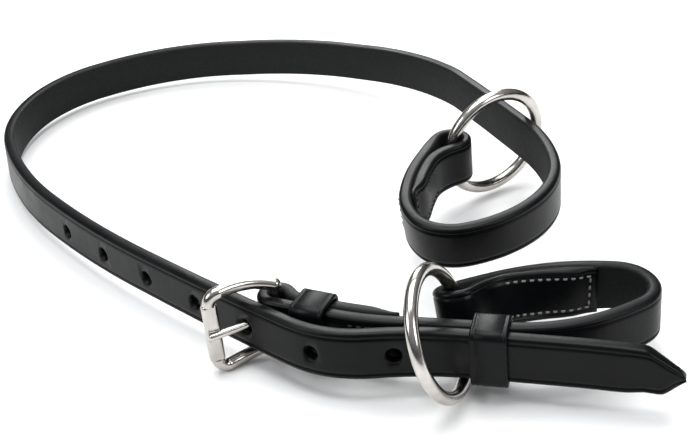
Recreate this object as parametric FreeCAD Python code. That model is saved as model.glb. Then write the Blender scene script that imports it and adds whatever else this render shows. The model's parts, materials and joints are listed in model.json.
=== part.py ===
import FreeCAD, Part
import math
import os

from FreeCAD import Rotation, Vector

# A leather martingale: a long strap and a short strap buckled into one neck loop.
# Each strap ends in a slip loop that runs through its own steel ring.
# All straps stand on edge. Millimetres, +Z up, the lowest point rests at Z = 0.

# ---- driving dimensions ----
STRAP_WIDTH = 16.0
STRAP_THICK = 4.2
FOLD_THICK = 3.2          # the leather is thinned where it folds round a ring
SKIVE_THICK = 1.4         # free end of a turn-back
SKIVE_LENGTH = 10.0
LAYER_GAP = 0.15          # between the two layers of a turn-back
FOLD_SPREAD = 50.0        # degrees past a half turn before the layers close up
HOLE_PITCH = 24.6
HOLE_DIA = 4.8
HOLES_BEFORE_PRONG = 2
HOLES_AFTER_PRONG = 4
TIP_LENGTH = 9.0
TIP_NOSE = 1.4            # half height of the blunt point

RING_OUTER = 42.0
RING_WIRE = 4.2
RING_FOLD_BORE = 4.2      # inner radius of the leather fold that holds a ring
WIRE_OFFSET = 0.85        # the curved wire lies this much off the middle of its fold

BUCKLE_WINDOW = 17.0
BUCKLE_LENGTH = 21.5      # centre of the bar to centre of the front bar
BUCKLE_CORNER = 3.5       # bend between a side and the front bar
BUCKLE_FLARE = 3.0        # each side spreads this much from the bar to the front bar
BUCKLE_MIDDLE = 13.3      # height of the prong and of the middle of the buckle
BUCKLE_DISH = 1.5         # and dish away from the front
SIDE_DIA = 4.0
BAR_DIA = 3.6
EYE_GAP = 0.06            # radial running clearance of the prong's eye on the bar
BAR_FOLD_GAP = 0.3        # radial gap between the bar and its leather fold
FRONT_BAR_DEPTH = 4.8
FRONT_BAR_THICK = 3.4
FRONT_BAR_ROUND = 1.1
PRONG_NOTCH = 0.6         # depth of the notch that the prong rests in
PRONG_LIFT = 6.0          # degrees that the prong can rise in its strap hole
PRONG_DIA = 3.0
PRONG_TIP_DIA = 2.4
EYE_WALL = 1.2
EYE_HEIGHT = 4.4
SLOT_HEIGHT = 5.6         # slot in the short strap's fold, for the prong

KEEPER_WALL = 1.5
KEEPER_WIDTH = 11.0
KEEPER_GAP = 0.3
RUNNING_KEEPER_ROOM = 1.3 # spare depth behind the two straps
EMPTY_KEEPER_ROOM = 1.0   # room left in the fixed keeper for the strap's tail

THREAD_DIA = 0.9          # where it passes through the leather
STRAND_WIDTH = 0.7        # where it lies on the leather
STITCH_PITCH = 2.6
STITCH_EDGE = 2.7         # from the strap's edge to a row of stitches
ROW_START = 2.0           # from a turned end to its first stitch
LONG_LOOP_PASSES = 10
SHORT_LOOP_PASSES = 12
BUCKLE_END_PASSES = 6

# ---- routes, seen from above ----
# A run is (length, turn in degrees, lift at its end, lean at its end).
# A positive turn is anticlockwise. Lift is the height of the lower edge above the ground.
# Lean is in degrees, positive when the upper edge tips towards the smooth outer face.
LONG_START = (90.0, -108.5)
LONG_HEADING = 161.0
LONG_TIP_LIFT = 4.4
LONG_TAIL = [
    (28, 2, 5.3, 0),
    (34, 0, 5.6, 0),
    (28, 13, 5.4, -5),
    (26, -40, 5.0, -4),
]
LONG_NECK = [
    (65, -3, 4.3, -1),
    (66, -9, 2.2, -3),
    (54, -18, 0.5, -4),
    (40, -36, 0.2, -5),
    (43, -47.5, 0.2, -6),
    (63, -37, 1.5, -5),
    (58.5, -24, 5.0, -5),
    (59, -30, 11.0, -2),
]
LONG_LOOP = [
    (57, -2.5, 12.6, 0),
    (26, -22, 12.2, 0),
    (25.5, -41.5, 11.5, 2),
    (29, -39, 11.2, 6),
    (16.5, -71, 11.4, 8),
    (15.5, -32.5, 11.8, 5),
    (25, -20.5, 12.4, 0),
    (14, 0, 12.6, 0),
]
LONG_TURN_BACK = 25.0

BAR_AT = (-23.5, -58.5)
CHAPE_HEADING = -28.0     # the short strap leaves the bar in this direction
CHAPE_LIFT = 5.0
CHAPE_TURN_BACK = 33.0
SHORT_RUN = [
    (22, 0, 5.0, 0),
    (20, 12, 5.4, 0),
    (30, 0, 5.6, 0),
    (33, 36, 5.0, 0),
    (13, 12, 4.5, 0),
    (9.6, 58, 4.3, 0),
    (17, 81, 4.5, 0),
    (34, 22, 5.3, 22),
    (16, 0, 5.3, 22),
]
SHORT_TURN_BACK = 30.0

# ---- poses of the hardware ----
FRAME_HEADING = 198.9     # from the bar to the front bar
RING_LONG_FACING = -64.0  # compass direction of the ring's axis, and its tilt upwards
RING_LONG_TILT = -6.5
RING_SHORT_FACING = -21.0
RING_SHORT_TILT = 18.5
FIXED_KEEPER_AT = 14.0    # along the short strap from the bar
RUNNING_KEEPER_AT = 55.0  # along the long strap from its tip

STATION_STEP = 5.0
STATION_TURN = 10.0

MID_HEIGHT = STRAP_WIDTH / 2.0
HALF_THICK = STRAP_THICK / 2.0
LAYER_PITCH = STRAP_THICK + LAYER_GAP
WIRE_RADIUS = RING_WIRE / 2.0
RING_RADIUS = (RING_OUTER - RING_WIRE) / 2.0


# ---- routes ----
def direction(degrees):
    angle = math.radians(degrees)
    return Vector(math.cos(angle), math.sin(angle), 0)


class Section:
    """One cross-section of a strap: how far along it is, where it is and how it faces."""

    def __init__(self, distance, centre, normal, up):
        self.distance = distance
        self.centre = centre
        self.normal = normal      # out of the smooth face
        self.up = up


def blended(first, second, share):
    """A vector part of the way between two others."""
    return first + (second - first) * share


def walk(start, heading, lift, runs, outer_side):
    """Sections along straight runs and arcs. outer_side is 1 when the smooth face is on the left."""
    x, y = start
    distance = 0
    lean = 0
    sections = []
    for length, turn, end_lift, end_lean in runs:
        steps = max(1, math.ceil(length / STATION_STEP), math.ceil(abs(turn) / STATION_TURN))
        bend = turn / steps
        arc = length / steps
        chord = arc if bend == 0 else 2 * arc / math.radians(bend) * math.sin(math.radians(bend / 2))
        first_lift, first_lean = lift, lean
        for step in range(steps + 1):
            if step > 0:
                x += chord * direction(heading + bend / 2).x
                y += chord * direction(heading + bend / 2).y
                heading += bend
                distance += arc
            lift = first_lift + (end_lift - first_lift) * step / steps
            lean = first_lean + (end_lean - first_lean) * step / steps
            if step > 0 or not sections:
                level = direction(heading + outer_side * 90)
                tip = math.radians(lean)
                up = Vector(0, 0, 1) * math.cos(tip) + level * math.sin(tip)
                normal = level * math.cos(tip) - Vector(0, 0, 1) * math.sin(tip)
                sections.append(Section(distance, Vector(x, y, lift + MID_HEIGHT), normal, up))
    return sections


def at_distance(sections, distance):
    """The section at a distance, between two that the walk stored."""
    for before, after in zip(sections, sections[1:]):
        if before.distance <= distance <= after.distance:
            share = (distance - before.distance) / (after.distance - before.distance)
            centre = blended(before.centre, after.centre, share)
            normal = blended(before.normal, after.normal, share).normalize()
            up = blended(before.up, after.up, share).normalize()
            return Section(distance, centre, normal, up)
    raise ValueError("no section at %s" % distance)


def close_radius(radius):
    """Radius of the bend that brings the layers together behind a fold."""
    return (2 * radius - LAYER_PITCH) / (1 - math.cos(math.radians(FOLD_SPREAD))) - radius


def fold_reach(radius):
    """How far back from the start of a fold its two layers come together."""
    return (radius + close_radius(radius)) * math.sin(math.radians(FOLD_SPREAD))


def turned_end(leading, radius, turn_back):
    """Sections that fold round a bar and lie back on the strap, measured from the fold's start."""
    last = leading[-1]
    ahead = last.normal.cross(last.up)
    if ahead.dot(last.centre - leading[-2].centre) < 0:
        ahead = ahead * -1
    middle = last.centre - last.normal * radius
    bends = [(radius, 0, 180 + FOLD_SPREAD), (close_radius(radius), 180 + FOLD_SPREAD, 180)]
    sections = [last]
    distance = 0
    for bend_radius, first, final in bends:
        side = 1 if final > first else -1
        steps = math.ceil(abs(final - first) / STATION_TURN)
        start = sections[-1]
        pivot = start.centre - start.normal * (side * bend_radius) if sections[1:] else middle
        for step in range(1, steps + 1):
            angle = math.radians(first + (final - first) * step / steps)
            normal = last.normal * math.cos(angle) + ahead * math.sin(angle)
            distance += bend_radius * math.radians(abs(final - first)) / steps
            centre = pivot + normal * (side * bend_radius)
            sections.append(Section(distance, centre, normal, last.up))
    travelled = leading[-1].distance - leading[0].distance
    sense = 1 if travelled > 0 else -1
    steps = math.ceil(turn_back / STATION_STEP)
    for step in range(1, steps + 1):
        back = turn_back * step / steps
        ordered = leading if sense > 0 else leading[::-1]
        beside = at_distance(ordered, last.distance - sense * (fold_reach(radius) + back))
        centre = beside.centre - beside.normal * LAYER_PITCH
        sections.append(Section(distance + back, centre, beside.normal * -1, beside.up))
    return sections[1:]


def shifted(sections, distance):
    return [Section(s.distance + distance, s.centre, s.normal, s.up) for s in sections]


def crossing(sections, point, heading):
    """The distance at which a strap crosses a level line through a point."""
    across = direction(heading + 90)
    for before, after in zip(sections, sections[1:]):
        offsets = [(s.centre - point).dot(across) for s in (before, after)]
        near = Vector(before.centre.x, before.centre.y, 0).distanceToPoint(point) < BUCKLE_LENGTH
        if near and offsets[0] * offsets[1] <= 0:
            share = offsets[0] / (offsets[0] - offsets[1])
            return before.distance + (after.distance - before.distance) * share
    raise ValueError("the strap does not cross the line")


RING_FOLD_RADIUS = RING_FOLD_BORE + FOLD_THICK / 2
BAR_FOLD_RADIUS = BAR_DIA / 2 + BAR_FOLD_GAP + HALF_THICK
BAR_POINT = Vector(BAR_AT[0], BAR_AT[1], 0)
PRONG_RISE = FRONT_BAR_THICK / 2 - PRONG_NOTCH + PRONG_TIP_DIA / 2 + EYE_GAP
PRONG_ANGLE = math.degrees(math.atan2(PRONG_RISE, BUCKLE_LENGTH))


def long_route():
    """Sections of the long strap, and where its ring fold starts."""
    runs = LONG_TAIL + LONG_NECK + LONG_LOOP
    main = walk(LONG_START, LONG_HEADING, LONG_TIP_LIFT, runs, 1)
    fold_at = main[-1].distance
    return main + shifted(turned_end(main, RING_FOLD_RADIUS, LONG_TURN_BACK), fold_at), fold_at


def short_route():
    """Sections of the short strap, where it leaves the bar and where its ring fold starts."""
    leave = BAR_POINT + direction(CHAPE_HEADING - 90) * BAR_FOLD_RADIUS
    main = walk((leave.x, leave.y), CHAPE_HEADING, CHAPE_LIFT, SHORT_RUN, -1)
    chape = turned_end(main[::-1], BAR_FOLD_RADIUS, CHAPE_TURN_BACK)
    bar_at = chape[-1].distance
    lead = [Section(bar_at - s.distance, s.centre, s.normal, s.up) for s in reversed(chape)]
    fold_at = bar_at + main[-1].distance
    tail = turned_end(main, RING_FOLD_RADIUS, SHORT_TURN_BACK)
    return lead + shifted(main, bar_at) + shifted(tail, fold_at), bar_at, fold_at


LONG_SECTIONS, LONG_FOLD_AT = long_route()
SHORT_SECTIONS, BAR_LEFT_AT, SHORT_FOLD_AT = short_route()
PRONG_HEADING = FRAME_HEADING + PRONG_ANGLE
PRONG_HOLE_AT = crossing(LONG_SECTIONS, BAR_POINT, PRONG_HEADING + PRONG_LIFT / 2)


# ---- leather ----
def strap_solid(sections, thickness):
    """Loft the strap's outline. thickness(distance) gives its outer and inner depth."""
    outlines = []
    for section in sections:
        outer, inner = thickness(section.distance)
        rise = section.up * MID_HEIGHT
        smooth = section.centre + section.normal * outer
        flesh = section.centre - section.normal * inner
        corners = [smooth + rise, smooth - rise, flesh - rise, flesh + rise]
        outlines.append(Part.makePolygon(corners + corners[:1]))
    return Part.makeLoft(outlines, True, False, False)


def fold_share(distance, fold_at, radius):
    """1 in the middle of a fold, easing to 0 just outside it."""
    half = radius * math.radians(180 + FOLD_SPREAD) / 2
    share = min(1.0, max(0.0, (abs(distance - fold_at - half) - half) / radius))
    return 1.0 - share * share * (3 - 2 * share)


def skived(depth, from_end):
    """Outer depth of the leather, tapering near the free end of a turn-back."""
    thin = SKIVE_THICK - HALF_THICK
    return thin + (depth - thin) * min(1.0, from_end / SKIVE_LENGTH)


def long_thickness(distance):
    total = LONG_SECTIONS[-1].distance
    thinning = fold_share(distance, LONG_FOLD_AT, RING_FOLD_RADIUS)
    half = HALF_THICK - (STRAP_THICK - FOLD_THICK) / 2 * thinning
    return skived(half, total - distance), half


def short_thickness(distance):
    total = SHORT_SECTIONS[-1].distance
    thinning = fold_share(distance, SHORT_FOLD_AT, RING_FOLD_RADIUS)
    half = HALF_THICK - (STRAP_THICK - FOLD_THICK) / 2 * thinning
    return skived(half, min(distance, total - distance)), half


def punch(distance, heading=None):
    """A round cutter through the long strap, square to it or along a level heading."""
    section = at_distance(LONG_SECTIONS, distance)
    axis = section.normal if heading is None else direction(heading)
    start = section.centre - axis * STRAP_THICK
    return Part.makeCylinder(HOLE_DIA / 2, 2 * STRAP_THICK, start, axis)


def tip_cutters():
    """Two wedges that leave a blunt point at the long strap's free end."""
    tip = LONG_SECTIONS[0]
    along = tip.normal.cross(tip.up)
    depth = tip.normal * 2 * STRAP_THICK
    wedges = []
    for side in (1, -1):
        nose = tip.centre + tip.up * (side * TIP_NOSE)
        run = along * TIP_LENGTH + tip.up * (side * (MID_HEIGHT - TIP_NOSE))
        corner = nose - along * TIP_LENGTH + tip.up * (side * STRAP_WIDTH)
        outline = [nose - run, nose + run * 2, corner]
        outline = [point - depth * 0.5 for point in outline]
        wedges.append(Part.Face(Part.makePolygon(outline + [outline[0]])).extrude(depth))
    return wedges


def long_strap():
    """Neck strap with a pointed tip, punched holes, and a loop folded round its ring."""
    strap = strap_solid(LONG_SECTIONS, long_thickness)
    cutters = tip_cutters()
    for number in range(-HOLES_BEFORE_PRONG, HOLES_AFTER_PRONG + 1):
        heading = PRONG_HEADING + PRONG_LIFT / 2 if number == 0 else None
        cutters.append(punch(PRONG_HOLE_AT + number * HOLE_PITCH, heading))
    return strap.cut(cutters)


def short_strap():
    """Buckle end folded round the bar, and a slip loop folded round its ring."""
    strap = strap_solid(SHORT_SECTIONS, short_thickness)
    along = direction(CHAPE_HEADING)
    across = direction(CHAPE_HEADING + 90)
    middle = BAR_POINT + Vector(0, 0, CHAPE_LIFT + MID_HEIGHT)
    reach = 2 * BAR_FOLD_RADIUS
    slot = Part.makeBox(2 * reach - SLOT_HEIGHT, 2 * reach, SLOT_HEIGHT,
                        Vector(-reach, -reach, -SLOT_HEIGHT / 2))
    round_end = Part.makeCylinder(SLOT_HEIGHT / 2, 2 * reach,
                                  Vector(reach - SLOT_HEIGHT, -reach, 0), Vector(0, 1, 0))
    cutter = slot.fuse(round_end)
    cutter.Placement = FreeCAD.Placement(middle, Rotation(along, across, Vector(0, 0, 1), "XYZ"))
    return strap.cut(cutter)


# ---- buckle ----
def buckle_placement():
    return FreeCAD.Placement(BAR_POINT + Vector(0, 0, BUCKLE_MIDDLE),
                             Rotation(Vector(0, 0, 1), FRAME_HEADING))


def prong_line():
    """Start and direction of the prong's centre line, in the buckle's own axes."""
    return Vector(0, 0, 0), Vector(BUCKLE_LENGTH, PRONG_RISE, 0).normalize()


def round_rail(start, middle, end, radius):
    """A round bar along an arc."""
    spine = Part.Arc(start, middle, end).toShape()
    profile = Part.Wire(Part.makeCircle(radius, start, spine.tangentAt(spine.FirstParameter)))
    return Part.Wire(spine).makePipeShell([profile], True, False)


def buckle_frame():
    """Bar, front bar and two flared sides. X runs from the bar to the front bar."""
    bar_height = BUCKLE_WINDOW / 2 + SIDE_DIA / 2
    front_height = bar_height + BUCKLE_FLARE
    radius = SIDE_DIA / 2
    frame = Part.makeCylinder(BAR_DIA / 2, 2 * bar_height, Vector(0, 0, -bar_height))
    for side in (1, -1):
        start = Vector(0, 0, side * bar_height)
        end = Vector(BUCKLE_LENGTH - BUCKLE_CORNER, 0, side * front_height)
        level_at_end = bar_height + BUCKLE_FLARE * 3 / 4
        bend = Vector(end.x / 2, -BUCKLE_DISH, side * level_at_end)
        middle = end - Vector(0, 0, side * BUCKLE_CORNER)
        slant = direction(45)
        halfway = middle + Vector(slant.x, 0, side * slant.y) * BUCKLE_CORNER
        front_end = middle + Vector(BUCKLE_CORNER, 0, 0)
        rails = [round_rail(start, bend, end, radius), round_rail(end, halfway, front_end, radius)]
        frame = frame.fuse(rails + [Part.makeSphere(radius, start), Part.makeSphere(radius, end)])
    height = 2 * (front_height - BUCKLE_CORNER + FRONT_BAR_ROUND / 2)
    front = Part.makeBox(FRONT_BAR_DEPTH, FRONT_BAR_THICK, height,
                         Vector(BUCKLE_LENGTH - FRONT_BAR_DEPTH / 2, -FRONT_BAR_THICK / 2, -height / 2))
    front = front.makeFillet(FRONT_BAR_ROUND, front.Edges)
    start, along = prong_line()
    notch = Part.makeCylinder(PRONG_TIP_DIA / 2 + 2 * EYE_GAP, FRONT_BAR_DEPTH * 2,
                              start + along * (BUCKLE_LENGTH - FRONT_BAR_DEPTH), along)
    frame = frame.fuse(front).removeSplitter().cut(notch)
    frame.Placement = buckle_placement()
    return frame


def buckle_prong():
    """Eye round the bar and a tapering tongue with a rounded tip."""
    start, along = prong_line()
    bore = BAR_DIA / 2 + EYE_GAP
    eye = Part.makeCylinder(bore + EYE_WALL, EYE_HEIGHT, Vector(0, 0, -EYE_HEIGHT / 2))
    root = bore + EYE_WALL / 2
    length = BUCKLE_LENGTH + FRONT_BAR_DEPTH / 4
    tongue = Part.makeCone(PRONG_DIA / 2, PRONG_TIP_DIA / 2, length - root, start + along * root, along)
    tip = Part.makeSphere(PRONG_TIP_DIA / 2, start + along * length)
    prong = eye.fuse([tongue, tip]).removeSplitter()
    prong = prong.cut(Part.makeCylinder(bore, EYE_HEIGHT * 2, Vector(0, 0, -EYE_HEIGHT)))
    prong.Placement = buckle_placement()
    return prong


# ---- rings ----
def ring_pose(sections, fold_at, facing, tilt, fold_side):
    """Centre and axis of a ring that stands on the ground with its wire in a fold."""
    section = at_distance(sections, fold_at)
    fold = section.centre - section.normal * RING_FOLD_RADIUS
    tilt = math.radians(tilt)
    axis = direction(facing) * math.cos(tilt) + Vector(0, 0, 1) * math.sin(tilt)
    level = direction(facing + 90) * fold_side
    rise = Vector(0, 0, 1) - axis * axis.z
    rise.normalize()
    height = RING_RADIUS * rise.z + WIRE_RADIUS
    reach = RING_RADIUS - WIRE_OFFSET
    climb = math.asin((fold.z - height) / (reach * rise.z))
    middle = fold - (level * math.cos(climb) + rise * math.sin(climb)) * reach
    tangent = rise * math.cos(climb) - level * math.sin(climb)
    return middle, axis, fold, tangent


def long_ring_pose():
    return ring_pose(LONG_SECTIONS, LONG_FOLD_AT, RING_LONG_FACING, RING_LONG_TILT, -1)


def short_ring_pose():
    return ring_pose(SHORT_SECTIONS, SHORT_FOLD_AT, RING_SHORT_FACING, RING_SHORT_TILT, 1)


def ring(pose):
    middle, axis = pose[:2]
    return Part.makeTorus(RING_RADIUS, WIRE_RADIUS, middle, axis)


# ---- keepers ----
def keeper(section, outer_room, inner_room):
    """A flat leather band round a strap, with room on its outer and inner sides."""
    inside_height = STRAP_WIDTH + 2 * KEEPER_GAP
    inside_depth = outer_room + inner_room
    outside_height = inside_height + 2 * KEEPER_WALL
    outside_depth = inside_depth + 2 * KEEPER_WALL
    bands = []
    for width, depth, height, rounding in (
            (KEEPER_WIDTH, outside_depth, outside_height, KEEPER_WALL * 1.3),
            (KEEPER_WIDTH * 2, inside_depth, inside_height, KEEPER_WALL * 0.3)):
        block = Part.makeBox(width, depth, height, Vector(-width / 2, -depth / 2, -height / 2))
        long_edges = [e for e in block.Edges if abs(e.tangentAt(e.FirstParameter).x) > 0.9]
        bands.append(block.makeFillet(rounding, long_edges))
    band = bands[0].cut(bands[1])
    middle = section.centre + section.normal * ((outer_room - inner_room) / 2)
    along = section.normal.cross(section.up)
    band.Placement = FreeCAD.Placement(middle, Rotation(along, section.normal, section.up, "XYZ"))
    return band


def fixed_keeper():
    """Sewn round the two layers at the buckle, with room for the long strap's tail."""
    section = at_distance(SHORT_SECTIONS, BAR_LEFT_AT + FIXED_KEEPER_AT)
    return keeper(section, HALF_THICK + EMPTY_KEEPER_ROOM, LAYER_PITCH + HALF_THICK + KEEPER_GAP)


def running_keeper():
    """Slides along the long strap's tail and the short strap behind it."""
    section = at_distance(LONG_SECTIONS, RUNNING_KEEPER_AT)
    return keeper(section, HALF_THICK + KEEPER_GAP, LAYER_PITCH + HALF_THICK + RUNNING_KEEPER_ROOM)


# ---- threads ----
def strand(points, normals, across):
    """Thread that lies along one face of the leather."""
    half = STRAND_WIDTH / 2
    outlines = []
    for point, normal in zip(points, normals):
        corners = [
            point + normal * (half * rise) + across * (half * side)
            for rise, side in ((1, 1), (1, -1), (-1, -1), (-1, 1))
        ]
        outlines.append(Part.makePolygon(corners + corners[:1]))
    return Part.makeLoft(outlines, True, False, False)


def thread(passes, across):
    """One thread: through the leather at each pass, and along both faces in between."""
    normals = [(outer - inner).normalize() for outer, inner in passes]
    pieces = [
        Part.makeCylinder(THREAD_DIA / 2, outer.distanceToPoint(inner), inner, normal)
        for (outer, inner), normal in zip(passes, normals)
    ]
    pieces.append(strand([inner for outer, inner in passes], normals, across))
    return strand([outer for outer, inner in passes], normals, across).fuse(pieces)


def layered_pass(sections, distance, height, end_distance):
    """Where a stitch goes through both layers, at a height from the strap's middle."""
    section = at_distance(sections, distance)
    turned = HALF_THICK + skived(HALF_THICK, abs(distance - end_distance))
    place = section.centre + section.up * height
    depth = HALF_THICK + LAYER_GAP + turned
    return place + section.normal * HALF_THICK, place - section.normal * depth


ROW_HEIGHT = MID_HEIGHT - STITCH_EDGE


def thread_row(sections, first, count, height, end_distance):
    """A row of stitches along a strap."""
    distances = [first + number * STITCH_PITCH for number in range(count)]
    passes = [layered_pass(sections, distance, height, end_distance) for distance in distances]
    return thread(passes, at_distance(sections, first).up)


def thread_bar(sections, distance, end_distance):
    """A stitch across a strap, between its two long rows."""
    heights = (ROW_HEIGHT / 3, -ROW_HEIGHT / 3)
    passes = [layered_pass(sections, distance, height, end_distance) for height in heights]
    section = at_distance(sections, distance)
    return thread(passes, section.normal.cross(section.up))


def main():
    long_end = LONG_FOLD_AT - fold_reach(RING_FOLD_RADIUS) - LONG_TURN_BACK
    short_end = SHORT_FOLD_AT - fold_reach(RING_FOLD_RADIUS) - SHORT_TURN_BACK
    chape_end = BAR_LEFT_AT + fold_reach(BAR_FOLD_RADIUS) + CHAPE_TURN_BACK
    chape_start = chape_end - ROW_START - (BUCKLE_END_PASSES - 1) * STITCH_PITCH
    rows = {
        "thread_long_loop": (LONG_SECTIONS, long_end + ROW_START, LONG_LOOP_PASSES, long_end),
        "thread_short_loop": (SHORT_SECTIONS, short_end + ROW_START, SHORT_LOOP_PASSES, short_end),
        "thread_buckle_end": (SHORT_SECTIONS, chape_start, BUCKLE_END_PASSES, chape_end),
    }
    parts = {
        "long_strap": long_strap(),
        "short_strap": short_strap(),
        "buckle_frame": buckle_frame(),
        "buckle_prong": buckle_prong(),
        "ring_long_strap": ring(long_ring_pose()),
        "ring_short_strap": ring(short_ring_pose()),
        "fixed_keeper": fixed_keeper(),
        "running_keeper": running_keeper(),
    }
    for name, (sections, first, count, end) in rows.items():
        for label, side in (("upper", 1), ("lower", -1)):
            parts[name + "_" + label] = thread_row(sections, first, count, side * ROW_HEIGHT, end)
    parts["thread_short_loop_end"] = thread_bar(SHORT_SECTIONS, short_end + ROW_START, short_end)
    parts["thread_long_loop_end"] = thread_bar(LONG_SECTIONS, long_end + ROW_START, long_end)
    return parts


def place_and_export(parts):
    """Put the origin under the middle of the whole object, and write one file per part."""
    box = Part.makeCompound(list(parts.values())).optimalBoundingBox(False)
    shift = Vector(-box.Center.x, -box.Center.y, -box.ZMin)
    os.makedirs("parts", exist_ok=True)
    for name, shape in parts.items():
        shape.translate(shift)
        shape.exportStep("parts/%s.step" % name)
    return shift


if __name__ == "__main__":
    place_and_export(main())
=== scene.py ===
import json
import math

import bmesh
import bpy
import numpy as np
from mathutils import Matrix, Vector


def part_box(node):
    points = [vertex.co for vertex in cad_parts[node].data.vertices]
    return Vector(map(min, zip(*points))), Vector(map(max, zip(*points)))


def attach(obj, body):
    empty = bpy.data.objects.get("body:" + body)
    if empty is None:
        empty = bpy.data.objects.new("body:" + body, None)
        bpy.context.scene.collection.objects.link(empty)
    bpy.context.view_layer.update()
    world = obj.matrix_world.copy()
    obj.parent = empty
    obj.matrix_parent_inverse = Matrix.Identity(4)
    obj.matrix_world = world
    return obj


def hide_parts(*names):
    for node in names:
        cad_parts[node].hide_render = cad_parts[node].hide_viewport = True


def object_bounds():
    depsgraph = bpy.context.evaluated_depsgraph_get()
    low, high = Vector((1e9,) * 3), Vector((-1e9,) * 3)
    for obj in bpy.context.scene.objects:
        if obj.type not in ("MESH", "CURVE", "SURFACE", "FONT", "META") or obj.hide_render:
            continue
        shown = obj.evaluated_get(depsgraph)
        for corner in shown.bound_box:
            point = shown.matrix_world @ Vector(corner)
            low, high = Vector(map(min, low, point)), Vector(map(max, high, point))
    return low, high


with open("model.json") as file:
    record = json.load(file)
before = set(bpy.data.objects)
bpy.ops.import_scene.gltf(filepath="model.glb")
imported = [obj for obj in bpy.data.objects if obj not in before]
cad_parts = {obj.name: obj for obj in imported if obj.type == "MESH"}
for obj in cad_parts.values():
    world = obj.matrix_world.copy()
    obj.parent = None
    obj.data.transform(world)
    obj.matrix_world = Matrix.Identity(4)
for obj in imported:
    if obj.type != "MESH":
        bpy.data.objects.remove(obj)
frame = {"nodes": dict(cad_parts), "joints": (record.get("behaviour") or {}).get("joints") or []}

CAD_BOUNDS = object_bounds()

# ---- driving dimensions of the looks, in metres ----
STEP = 0.0015             # spacing of the straps' cross-sections
FINE = 6                  # how much finer a strap's edges are read than its cross-sections
LOOK_AHEAD = 5            # cross-sections that a search along an edge may run ahead
EDGE_ROUND = 0.0013       # rounding of the burnished strap edges
CREASE_INSET = 0.0019     # crease line from the strap's edge
CREASE_DEPTH = 0.00032
CREASE_WIDTH = 0.0009
FULL_THICK = 0.004        # leather this thick or more has its crease at full depth
RIM_BEVEL = 0.00045       # softened rim of the punched holes
RIM_LIMIT = 0.004         # larger than any punched hole's radius
RIM_PAIR = 0.007          # further apart than the two rims of one hole
PUNCH_HALF = 0.0021       # half the depth of leather that a punch goes through at full size
PUNCH_REACH = 0.004       # half the length of the whole punch
PUNCH_FLARE = 0.0025      # how much wider the punch is at its ends
PUNCH_OVERRUN = 0.0002    # how far past the leather the softened rim reaches
PUNCH_SIDES = 28
SLOT_BACK = 0.0085        # slot for the prong, measured from the bar
SLOT_FRONT = 0.0056
SLOT_HALF_WIDTH = 0.0085
SLOT_HALF_HEIGHT = 0.0028
STITCH_RADIUS = 0.0004
STITCH_BOW = 0.35         # how many radii the middle of a stitch stands up
STITCH_DIP = 1.2          # how many radii its ends dip into the leather
STITCH_SHOWN = 0.66       # share of each stitch's pitch that is above the leather
END_ROW_HALF = 0.0052     # half height of the row across a turned end
TIP_LENGTH = 0.0082       # pointed end of the long strap
TIP_NOSE = 0.0013         # radius of its blunt point
TIP_SOFT = 0.0004         # softening of its shoulders
TIP_SKIVE = 0.6           # share of the thickness that is left at the point
KEEPER_WALL = 0.0015
KEEPER_CORNER = 0.0021    # bend of the keepers' corners, at the middle of the leather
KEEPER_CREASE = 0.0013    # crease line from a keeper's edge
KEEPER_CREASE_DEPTH = 0.0002
KEEPER_CREASE_HALF = 0.0003
SHARP = math.radians(50)  # two faces that meet at more than this make an edge

joints = {joint["name"]: joint for joint in frame["joints"]}


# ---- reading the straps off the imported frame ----
class Shell:
    """A CAD node's mesh with its split vertices welded, and the chains of its sharp edges."""

    def __init__(self, node):
        mesh = bmesh.new()
        mesh.from_mesh(frame["nodes"][node].data)
        bmesh.ops.remove_doubles(mesh, verts=mesh.verts, dist=1e-6)
        mesh.normal_update()
        links = {}
        for edge in mesh.edges:
            if len(edge.link_faces) == 2 and edge.calc_face_angle(0) > SHARP:
                a, b = (tuple(v.co) for v in edge.verts)
                links.setdefault(a, []).append(b)
                links.setdefault(b, []).append(a)
        mesh.free()
        self.chains, self.loops = self.trace(links)

    @staticmethod
    def trace(links):
        """Open chains between corners, and closed loops."""
        used = set()
        chains = []
        loops = []

        def follow(start, after):
            path = [start, after]
            used.add(frozenset((start, after)))
            while len(links[path[-1]]) == 2 and path[-1] != path[0]:
                ahead = [p for p in links[path[-1]] if frozenset((path[-1], p)) not in used]
                if not ahead:
                    break
                used.add(frozenset((path[-1], ahead[0])))
                path.append(ahead[0])
            return np.array(path)

        corners = [p for p, near in links.items() if len(near) != 2]
        for corner in corners:
            for after in links[corner]:
                if frozenset((corner, after)) not in used:
                    chains.append(follow(corner, after))
        for point, near in links.items():
            for after in near:
                if frozenset((point, after)) not in used:
                    loops.append(follow(point, after))
        return chains, loops


def run_length(points):
    return np.concatenate([[0], np.cumsum(np.linalg.norm(np.diff(points, axis=0), axis=1))])


def resample(points, step):
    distance = run_length(points)
    places = np.linspace(0, distance[-1], max(2, int(round(distance[-1] / step)) + 1))
    return np.stack([np.interp(places, distance, points[:, axis]) for axis in range(3)], 1)


def match(guide, rail):
    """For each point of the guide, the nearest point of the rail, never going back."""
    dense = resample(rail, STEP / FINE)
    if np.linalg.norm(dense[0] - guide[0]) > np.linalg.norm(dense[-1] - guide[0]):
        dense = dense[::-1]
    here = 0
    found = []
    for point in guide:
        ahead = dense[here:here + LOOK_AHEAD * FINE + 1]
        here += int(np.argmin(np.linalg.norm(ahead - point, axis=1)))
        found.append(dense[here])
    return np.array(found)


def smooth(values, passes=2):
    """Light smoothing along a strap that keeps both ends."""
    values = values.copy()
    for _ in range(passes):
        values[1:-1] = (values[:-2] + 2 * values[1:-1] + values[2:]) / 4
    return values


def unit(vectors):
    return vectors / np.linalg.norm(vectors, axis=-1, keepdims=True)


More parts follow.
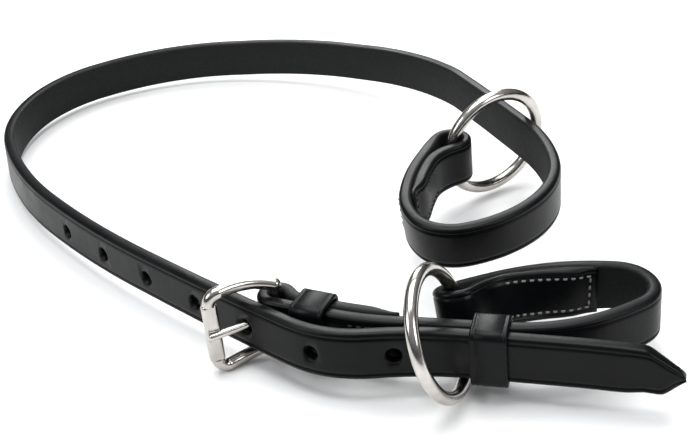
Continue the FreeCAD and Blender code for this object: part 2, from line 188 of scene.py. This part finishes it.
class Strap:
    """Sections of a strap: centre, outward normal, upward direction, half height and thickness."""

    def __init__(self, node):
        self.node = node
        shell = Shell(node)
        rails = sorted(shell.chains, key=lambda chain: -run_length(chain)[-1])[:4]
        outer = sorted(rails[:2], key=lambda chain: -chain[:, 2].mean())
        inner = sorted(rails[2:], key=lambda chain: -chain[:, 2].mean())
        guide = resample(outer[0], STEP)
        corners = [guide] + [match(guide, rail) for rail in (outer[1], inner[1], inner[0])]
        corners = [smooth(corner) for corner in corners]
        top_outer, low_outer, low_inner, top_inner = corners
        smooth_face = (top_outer + low_outer) / 2
        flesh_face = (top_inner + low_inner) / 2
        self.up = unit(top_outer + top_inner - low_outer - low_inner)
        across = smooth_face - flesh_face
        across -= self.up * np.sum(across * self.up, axis=1, keepdims=True)
        self.thick = np.linalg.norm(across, axis=1)
        self.normal = unit(across)
        self.centre = (smooth_face + flesh_face) / 2
        self.half = np.linalg.norm(top_outer - low_outer, axis=1) / 2
        self.holes = self.pair_rims(shell.loops)
        if min(self.half[0], self.half[-1]) < self.half.max() / 2:
            self.sharpen_tip()

    def sharpen_tip(self):
        """Rebuild the pointed end as straight sections with crisp shoulders and a round nose."""
        if self.half[0] > self.half[-1]:
            for name in ("centre", "normal", "up", "half", "thick"):
                setattr(self, name, getattr(self, name)[::-1])
        nose = self.centre[0]
        reach = np.linalg.norm(self.centre - nose, axis=1)
        base = int(np.argmax(reach > TIP_LENGTH + 2 * STEP))
        full = self.half[base]
        turns = TIP_NOSE * (1 - np.cos(np.radians([12, 35, 60])))
        places = np.concatenate([turns, np.linspace(TIP_NOSE, TIP_LENGTH + STEP, 20)])
        slope = TIP_NOSE + (full - TIP_NOSE) * places / TIP_LENGTH
        half = -TIP_SOFT * np.log(np.exp(-slope / TIP_SOFT) + np.exp(-full / TIP_SOFT))
        rounded = places < TIP_NOSE
        half[rounded] *= np.sqrt(1 - (1 - places[rounded] / TIP_NOSE) ** 2)
        line = (self.centre[base] - nose) / reach[base]
        full_thick = self.thick[base]
        thick = full_thick * (TIP_SKIVE + (1 - TIP_SKIVE) * np.minimum(1, places / TIP_LENGTH))
        skived = (full_thick - thick)[:, None] / 2 * self.normal[base]
        fresh = {
            "centre": nose + places[:, None] * line + skived,
            "normal": np.repeat(self.normal[base:base + 1], len(places), axis=0),
            "up": np.repeat(self.up[base:base + 1], len(places), axis=0),
            "half": half,
            "thick": thick,
        }
        for name, values in fresh.items():
            setattr(self, name, np.concatenate([values, getattr(self, name)[base:]]))

    def pair_rims(self, loops):
        """Punched holes as (centre, axis, radius), from the round rims on both faces."""
        rims = []
        for loop in loops:
            middle = loop.mean(0)
            radius = np.linalg.norm(loop - middle, axis=1)
            is_round = len(loop) > 8 and radius.max() < 1.3 * radius.min()
            if is_round and radius.max() < RIM_LIMIT:
                rims.append((middle, radius.mean()))
        holes = []
        while rims:
            middle, radius = rims.pop()
            near = [rim for rim in rims if np.linalg.norm(rim[0] - middle) < RIM_PAIR]
            if near:
                rims = [rim for rim in rims if rim is not near[0]]
                holes.append(((middle + near[0][0]) / 2, unit(middle - near[0][0]), radius))
        return holes

    def nearest(self, point):
        return int(np.argmin(np.linalg.norm(self.centre - np.array(point), axis=1)))


# ---- meshes ----
def add_mesh(name, points, faces, slots=None):
    """A new smooth-shaded piece; slots give each face's material."""
    mesh = bpy.data.meshes.new(name)
    mesh.from_pydata([tuple(p) for p in points], [], faces)
    if slots is not None:
        mesh.polygons.foreach_set("material_index", slots)
    mesh.polygons.foreach_set("use_smooth", [True] * len(mesh.polygons))
    mesh.validate()
    mesh.update()
    piece = bpy.data.objects.new(name, mesh)
    bpy.context.scene.collection.objects.link(piece)
    return piece


def sweep(rings, closed_path=False):
    """Quads between successive rings of points, with end caps on an open path."""
    count = len(rings[0])
    points = np.concatenate(rings)
    faces = []
    total = len(rings)
    for i in range(total if closed_path else total - 1):
        j = (i + 1) % total
        for k in range(count):
            m = (k + 1) % count
            faces.append((i * count + k, i * count + m, j * count + m, j * count + k))
    if not closed_path:
        faces.append(tuple(range(count))[::-1])
        faces.append(tuple((total - 1) * count + k for k in range(count)))
    return points, faces


def strap_profile(half, thick):
    """The leather's outline as (height, depth, is_smooth_side); depth is towards the outer face."""
    t = thick / 2
    r = min(EDGE_ROUND, t * 0.85, half * 0.5)    # the edges are rounded less where the leather is small
    inset = min(CREASE_INSET, half * 0.45)
    groove = CREASE_DEPTH * min(1.0, thick / FULL_THICK)
    wide = CREASE_WIDTH / 2
    top = []
    for step in range(5):
        angle = math.radians(90 * step / 4)
        top.append((half - r + r * math.cos(angle), t - r + r * math.sin(angle)))
    top.append((half - inset + wide, t))
    top.append((half - inset + wide * 0.3, t - groove))
    top.append((half - inset - wide * 0.3, t - groove))
    top.append((half - inset - wide, t - groove * 0.1))
    top.append((half - inset - wide * 3, t))
    outer = top + [(0.0, t)] + [(-h, d) for h, d in reversed(top)]
    s = r * 0.7                                   # the flesh side's edges are crisper
    corner = []
    for step in range(4):
        angle = math.radians(90 * step / 3)
        corner.append((-(half - s + s * math.cos(angle)), -(t - s + s * math.sin(angle))))
    inner = corner + [(0.0, -t)] + [(-h, d) for h, d in reversed(corner)]
    return [(h, d, True) for h, d in outer] + [(h, d, False) for h, d in inner]


def strap_piece(strap, name):
    """The leather's profile swept along the strap; flesh faces get the second material."""
    rings = []
    for i in range(len(strap.centre)):
        outline = strap_profile(strap.half[i], strap.thick[i])
        rings.append(np.array([
            strap.centre[i] + strap.up[i] * h + strap.normal[i] * d for h, d, _ in outline
        ]))
    points, faces = sweep(rings)
    outline = strap_profile(strap.half[0], strap.thick[0])
    count = len(outline)
    sides = [0 if outline[k][2] or outline[(k + 1) % count][2] else 1 for k in range(count)]
    slots = sides * (len(rings) - 1) + [1, 1]
    return add_mesh(name, points, faces, slots)


def punch(piece, cutters):
    """Cut shapes out of a piece and keep the result as its mesh."""
    hole = cutters[0]
    if len(cutters) > 1:
        with bpy.context.temp_override(active_object=hole, selected_editable_objects=cutters):
            bpy.ops.object.join()
    cut = piece.modifiers.new("holes", "BOOLEAN")
    cut.operation = "DIFFERENCE"
    cut.solver = "EXACT"
    cut.object = hole
    bpy.context.view_layer.update()
    result = bpy.data.meshes.new_from_object(
        piece.evaluated_get(bpy.context.evaluated_depsgraph_get()))
    piece.modifiers.clear()
    piece.data = result
    bpy.data.objects.remove(hole)


def hole_cutter(centre, axis, radius):
    """A round punch with flared ends, which softens the rim on both faces."""
    half = [
        (PUNCH_HALF - RIM_BEVEL, radius),
        (PUNCH_HALF + PUNCH_OVERRUN, radius + RIM_BEVEL * 1.3),
        (PUNCH_REACH, radius + PUNCH_FLARE),
    ]
    profile = [(-along, reach) for along, reach in reversed(half)] + half
    off_axis = (0.3, 0.2, 0.9)
    side = unit(np.cross(axis, off_axis))
    other = np.cross(axis, side)
    rings = []
    for along, reach in profile:
        rings.append(np.array([
            centre + axis * along + (side * math.cos(a) + other * math.sin(a)) * reach
            for a in np.linspace(0, 2 * math.pi, PUNCH_SIDES, endpoint=False)
        ]))
    points, faces = sweep(rings)
    piece = add_mesh("cutter", points, faces)
    fix_normals(piece)
    return piece


def fix_normals(piece):
    """Turn every face of a piece outwards."""
    mesh = bmesh.new()
    mesh.from_mesh(piece.data)
    bmesh.ops.recalc_face_normals(mesh, faces=mesh.faces)
    mesh.to_mesh(piece.data)
    mesh.free()


def prong_slot_cutter():
    """The slot in the buckle fold: a flat block that spans the bar."""
    bar = np.array(joints["buckle_prong_pivot"]["pos_m"])
    low, high = (np.array(corner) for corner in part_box("fixed_keeper"))
    along = (low + high) / 2 - bar
    along[2] = 0
    along = unit(along)
    across = np.array([-along[1], along[0], 0])
    rings = []
    for reach in (-SLOT_BACK, SLOT_FRONT):
        rings.append(np.array([
            bar + along * reach + across * (SLOT_HALF_WIDTH * s) + np.array([0, 0, SLOT_HALF_HEIGHT * h])
            for s, h in ((1, 1), (1, -1), (-1, -1), (-1, 1))
        ]))
    points, faces = sweep(rings)
    piece = add_mesh("cutter", points, faces)
    fix_normals(piece)
    return piece


def capsule(start, end, normal, rings=7, around=8):
    """One stitch: a bowed thread whose ends dip into the leather."""
    along = unit(end - start)
    side = np.cross(normal, along)
    result = []
    for i in range(rings):
        share = i / (rings - 1)
        rise = math.sin(math.pi * share) ** 0.6
        size = STITCH_RADIUS * (0.6 + 0.4 * rise)
        place = start + (end - start) * (0.5 + STITCH_SHOWN * (share - 0.5))
        middle = place + normal * STITCH_RADIUS * (STITCH_BOW * rise - STITCH_DIP * (1 - rise))
        result.append(np.array([
            middle + (side * math.cos(a) + normal * math.sin(a)) * size
            for a in np.linspace(0, 2 * math.pi, around, endpoint=False)
        ]))
    return sweep(result)


def join_parts(name, parts):
    """One piece from several (points, faces) pairs."""
    points = []
    faces = []
    for part_points, part_faces in parts:
        offset = sum(len(p) for p in points)
        points.append(part_points)
        faces += [tuple(index + offset for index in face) for face in part_faces]
    return add_mesh(name, np.concatenate(points), faces)


def on_face(strap, place, height):
    """A point on the strap's smooth face, at a fractional place along it, and its normal."""
    low = min(int(place), len(strap.centre) - 2)
    share = place - low

    def between(values):
        return values[low] * (1 - share) + values[low + 1] * share

    normal = unit(between(strap.normal))
    lift = between(strap.thick) / 2
    return between(strap.centre) + between(strap.up) * height + normal * lift, normal


def stitches(node, strap, count, across_strap=False):
    """Separate stitches on both smooth faces of a folded end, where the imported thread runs."""
    points = np.array([v.co[:] for v in frame["nodes"][node].data.vertices])
    places = [strap.nearest(point) for point in points]
    shown = [(p, i) for p, i in zip(points, places) if np.dot(p - strap.centre[i], strap.normal[i]) > 0]
    heights = [np.dot(p - strap.centre[i], strap.up[i]) for p, i in shown]
    row = sorted({i for _, i in shown})
    split = int(np.argmax(np.diff(row))) + 1
    parts = []
    for layer in (row[:split], row[split:]):
        if across_strap:
            levels = np.linspace(-END_ROW_HALF, END_ROW_HALF, count + 1)
            marks = np.full(count + 1, (layer[0] + layer[-1]) / 2)
        else:
            levels = np.full(count + 1, (min(heights) + max(heights)) / 2)
            marks = np.linspace(layer[0], layer[-1], count + 1)
        ends = [on_face(strap, place, level) for place, level in zip(marks, levels)]
        for (start, facing), (end, _) in zip(ends, ends[1:]):
            parts.append(capsule(start, end, facing))
    piece = join_parts(node + "_stitches", parts)
    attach(piece, "straps")
    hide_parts(node)
    return piece


def keeper_piece(node, along, body):
    """A flat leather band with rounded edges and two crease lines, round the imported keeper's box."""
    shape = np.array([v.co[:] for v in frame["nodes"][node].data.vertices])
    along = unit(np.array(along, float))
    up = np.array([0, 0, 1.0])
    up = unit(up - along * np.dot(up, along))
    normal = np.cross(up, along)
    spans = []
    for axis in (along, normal, up):
        values = shape @ axis
        spans.append(((values.max() + values.min()) / 2, (values.max() - values.min()) / 2))
    centre = sum(axis * span[0] for axis, span in zip((along, normal, up), spans))
    width, depth, height = (span[1] for span in spans)
    path = rounded_path(depth - KEEPER_WALL / 2, height - KEEPER_WALL / 2, KEEPER_CORNER)
    band = band_profile(width, KEEPER_WALL)
    rings = []
    for (x, y), (nx, ny) in path:
        middle = centre + normal * x + up * y
        out = normal * nx + up * ny
        rings.append(np.array([middle + along * a + out * d for a, d in band]))
    points, faces = sweep(rings, closed_path=True)
    piece = add_mesh(node + "_leather", points, faces)
    fix_normals(piece)
    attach(piece, body)
    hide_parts(node)
    return piece


def rounded_path(half_x, half_y, radius, steps=6):
    """Points and outward directions round a rectangle with rounded corners."""
    path = []
    for corner, (sx, sy) in enumerate(((1, 1), (-1, 1), (-1, -1), (1, -1))):
        for step in range(steps + 1):
            angle = math.radians(90 * corner + 90 * step / steps)
            out = (math.cos(angle), math.sin(angle))
            middle = (sx * (half_x - radius), sy * (half_y - radius))
            path.append(((middle[0] + out[0] * radius, middle[1] + out[1] * radius), out))
    return path


def band_profile(width, thick):
    """A keeper's section: rounded edges and a shallow crease along each one."""
    t = thick / 2
    r = t * 0.8
    half = []
    for step in range(5):
        angle = math.radians(90 * step / 4)
        half.append((width - r + r * math.cos(angle), t - r + r * math.sin(angle)))
    crease = width - KEEPER_CREASE
    half += [(crease + KEEPER_CREASE_HALF, t), (crease, t - KEEPER_CREASE_DEPTH),
             (crease - KEEPER_CREASE_HALF, t)]
    outer = half + [(-a, d) for a, d in reversed(half)]
    edge = half[:5]
    inner = [(-a, -d) for a, d in edge] + [(a, -d) for a, d in reversed(edge)]
    return outer + inner


# ---- materials ----
def material(name):
    """A new material with its nodes, links and surface shader."""
    made = bpy.data.materials.new(name)
    made.use_nodes = True
    return made, made.node_tree.nodes, made.node_tree.links, made.node_tree.nodes["Principled BSDF"]


def noise(nodes, links, scale, detail, roughness=0.55):
    """Cloudy noise over the object; scale is in features per metre."""
    place = nodes.new("ShaderNodeTexCoord")
    texture = nodes.new("ShaderNodeTexNoise")
    texture.inputs["Scale"].default_value = scale
    texture.inputs["Detail"].default_value = detail
    texture.inputs["Roughness"].default_value = roughness
    links.new(place.outputs["Object"], texture.inputs["Vector"])
    return texture


def ramp(nodes, links, source, low, high, start=0.3, end=0.7):
    """Map a texture's value to a range of grey values or colours."""
    made = nodes.new("ShaderNodeValToRGB")
    made.color_ramp.elements[0].position = start
    made.color_ramp.elements[1].position = end
    made.color_ramp.elements[0].color = low
    made.color_ramp.elements[1].color = high
    links.new(source, made.inputs["Fac"])
    return made.outputs["Color"]


def bump(nodes, links, surface, source, strength, distance, under=None):
    """Fine relief from a texture, on top of another relief if there is one."""
    made = nodes.new("ShaderNodeBump")
    made.inputs["Strength"].default_value = strength
    made.inputs["Distance"].default_value = distance
    links.new(source, made.inputs["Height"])
    if under is not None:
        links.new(under, made.inputs["Normal"])
    links.new(made.outputs["Normal"], surface.inputs["Normal"])
    return made.outputs["Normal"]


def grey(value):
    return (value, value, value, 1)


def smooth_leather():
    """Waxed black bridle leather: fine pores, a soft sheen, and faint cloudy wear."""
    made, nodes, links, surface = material("smooth_leather")
    cloud = noise(nodes, links, 60, 5)
    links.new(ramp(nodes, links, cloud.outputs["Fac"], (0.0012, 0.0015, 0.0018, 1),
                   (0.0034, 0.0040, 0.0046, 1)), surface.inputs["Base Color"])
    links.new(ramp(nodes, links, cloud.outputs["Fac"], grey(0.28), grey(0.42)),
              surface.inputs["Roughness"])
    pores = nodes.new("ShaderNodeTexVoronoi")
    pores.inputs["Scale"].default_value = 1500
    place = nodes.new("ShaderNodeTexCoord")
    links.new(place.outputs["Object"], pores.inputs["Vector"])
    fine = bump(nodes, links, surface, pores.outputs["Distance"], 0.12, 0.0002)
    soft = noise(nodes, links, 260, 6)
    bump(nodes, links, surface, soft.outputs["Fac"], 0.12, 0.0005, fine)
    surface.inputs["Specular IOR Level"].default_value = 0.13
    surface.inputs["Coat Weight"].default_value = 0.02
    surface.inputs["Coat Roughness"].default_value = 0.22
    return made


def flesh_leather():
    """The matte inner side: fibrous, slightly green-grey, with no shine."""
    made, nodes, links, surface = material("flesh_leather")
    fibre = noise(nodes, links, 900, 8, 0.7)
    links.new(ramp(nodes, links, fibre.outputs["Fac"], (0.0020, 0.0024, 0.0025, 1),
                   (0.0075, 0.0083, 0.0082, 1)), surface.inputs["Base Color"])
    surface.inputs["Roughness"].default_value = 0.7
    surface.inputs["Specular IOR Level"].default_value = 0.22
    coarse = noise(nodes, links, 350, 6)
    first = bump(nodes, links, surface, fibre.outputs["Fac"], 0.35, 0.0004)
    bump(nodes, links, surface, coarse.outputs["Fac"], 0.2, 0.0008, first)
    return made


def polished_metal():
    """Polished nickel plate with faint hairlines and uneven brightness."""
    made, nodes, links, surface = material("polished_metal")
    tone = noise(nodes, links, 90, 3)
    links.new(ramp(nodes, links, tone.outputs["Fac"], (0.40, 0.375, 0.345, 1),
                   (0.62, 0.60, 0.57, 1)), surface.inputs["Base Color"])
    surface.inputs["Metallic"].default_value = 1
    wear = noise(nodes, links, 700, 6)
    links.new(ramp(nodes, links, wear.outputs["Fac"], grey(0.14), grey(0.26)),
              surface.inputs["Roughness"])
    bump(nodes, links, surface, wear.outputs["Fac"], 0.015, 0.0001)
    return made


def sewing_thread(name, low, high):
    """Waxed thread with the twist of its strands."""
    made, nodes, links, surface = material(name)
    twist = nodes.new("ShaderNodeTexWave")
    twist.inputs["Scale"].default_value = 900
    twist.inputs["Distortion"].default_value = 2
    place = nodes.new("ShaderNodeTexCoord")
    links.new(place.outputs["Object"], twist.inputs["Vector"])
    links.new(ramp(nodes, links, twist.outputs["Fac"], low, high),
              surface.inputs["Base Color"])
    surface.inputs["Roughness"].default_value = 0.6
    bump(nodes, links, surface, twist.outputs["Fac"], 0.4, 0.0002)
    return made


def floor_material():
    """Plain white paper."""
    made, nodes, links, surface = material("pale_floor")
    tone = noise(nodes, links, 3, 2)
    links.new(ramp(nodes, links, tone.outputs["Fac"], grey(0.9), grey(0.93)),
              surface.inputs["Base Color"])
    surface.inputs["Roughness"].default_value = 0.8
    return made


# ---- the object ----
leather = smooth_leather()
flesh = flesh_leather()
metal = polished_metal()
pale_thread = sewing_thread("pale_thread", (0.10, 0.10, 0.09, 1), (0.27, 0.27, 0.25, 1))
black_thread = sewing_thread("black_thread", (0.003, 0.003, 0.003, 1), (0.014, 0.014, 0.014, 1))

long_strap = Strap("long_strap")
short_strap = Strap("short_strap")


def dress_strap(strap, cutters):
    """The visible leather of a strap, with its holes cut."""
    piece = strap_piece(strap, strap.node + "_leather")
    piece.data.materials.append(leather)
    piece.data.materials.append(flesh)
    fix_normals(piece)
    punch(piece, cutters)
    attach(piece, "straps")
    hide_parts(strap.node)


dress_strap(long_strap, [hole_cutter(*hole) for hole in long_strap.holes])
dress_strap(short_strap, [prong_slot_cutter()])

ROWS = {
    "long_loop": (long_strap, 9, black_thread),
    "short_loop": (short_strap, 11, pale_thread),
    "buckle_end": (short_strap, 5, black_thread),
}
for place, (strap, count, thread) in ROWS.items():
    for edge in ("upper", "lower"):
        stitches("thread_" + place + "_" + edge, strap, count).data.materials.append(thread)
    if place != "buckle_end":
        stitches("thread_" + place + "_end", strap, 4, across_strap=True).data.materials.append(thread)

slide_axis = joints["running_keeper_slide"]["axis"]
keeper_piece("running_keeper", slide_axis, "slide_keeper").data.materials.append(leather)
fixed_low, fixed_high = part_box("fixed_keeper")
under_keeper = short_strap.nearest((fixed_low + fixed_high) / 2)
fixed_along = np.cross(short_strap.normal[under_keeper], short_strap.up[under_keeper])
keeper_piece("fixed_keeper", fixed_along, "straps").data.materials.append(leather)

for node in ("buckle_frame", "buckle_prong", "ring_long_strap", "ring_short_strap"):
    piece = frame["nodes"][node]
    piece.data.materials.clear()
    piece.data.materials.append(metal)
    weld = piece.modifiers.new("joined_facets", "WELD")
    weld.merge_threshold = 1e-5
    even = piece.modifiers.new("even_shine", "WEIGHTED_NORMAL")
    even.keep_sharp = True

# ---- floor, light and camera ----
low, high = (Vector(corner) for corner in CAD_BOUNDS)
middle = (low + high) / 2

bpy.ops.mesh.primitive_plane_add(size=6, location=(middle.x, middle.y, 0))
floor = bpy.context.object
floor.name = "floor"
floor.data.materials.append(floor_material())


def area_light(name, place, size, power):
    """A square lamp that faces the middle of the object."""
    lamp = bpy.data.lights.new(name, "AREA")
    lamp.shape = "SQUARE"
    lamp.size = size
    lamp.energy = power
    holder = bpy.data.objects.new(name, lamp)
    holder.location = place
    holder.rotation_euler = (-Vector(place)).to_track_quat("-Z", "Y").to_euler()
    bpy.context.scene.collection.objects.link(holder)


def studio_world():
    """Bright above and dark near the horizon, which gives metal its dark streaks."""
    made = bpy.data.worlds.new("studio")
    made.use_nodes = True
    nodes, links = made.node_tree.nodes, made.node_tree.links
    place = nodes.new("ShaderNodeTexCoord")
    parts = nodes.new("ShaderNodeSeparateXYZ")
    links.new(place.outputs["Generated"], parts.inputs[0])
    sky = ramp(nodes, links, parts.outputs["Z"], (0.05, 0.047, 0.045, 1), (0.8, 0.83, 0.87, 1), 0.12, 0.75)
    links.new(sky, nodes["Background"].inputs["Color"])
    nodes["Background"].inputs["Strength"].default_value = 0.5
    bpy.context.scene.world = made


area_light("overhead", (0.0, 0.15, 1.1), 1.0, 15)
area_light("left", (-0.9, -0.35, 0.7), 0.5, 4)
area_light("right", (0.8, -0.6, 0.6), 0.4, 3)
area_light("behind", (0.1, 1.0, 0.62), 0.5, 6)
studio_world()
bpy.context.scene.view_settings.view_transform = "Standard"

VIEW_ELEVATION = math.radians(31.4)
VIEW_ROLL = math.radians(-6.1)
VIEW_DISTANCE = 0.457
VIEW_LENS = 67.83
VIEW_AIM = Vector((0.0212, -0.0208, 0.0102))

forward = Vector((0, math.cos(VIEW_ELEVATION), -math.sin(VIEW_ELEVATION)))
level_up = Vector((0, math.sin(VIEW_ELEVATION), math.cos(VIEW_ELEVATION)))
level_right = Vector((1, 0, 0))
right = level_right * math.cos(VIEW_ROLL) + level_up * math.sin(VIEW_ROLL)
up = level_up * math.cos(VIEW_ROLL) - level_right * math.sin(VIEW_ROLL)
turn = Matrix((right, up, -forward)).transposed()
camera = bpy.data.objects.new("camera", bpy.data.cameras.new("camera"))
camera.data.lens = VIEW_LENS
camera.data.clip_start = 0.01
camera.matrix_world = Matrix.Translation(VIEW_AIM - forward * VIEW_DISTANCE) @ turn.to_4x4()
bpy.context.scene.collection.objects.link(camera)
bpy.context.scene.camera = camera
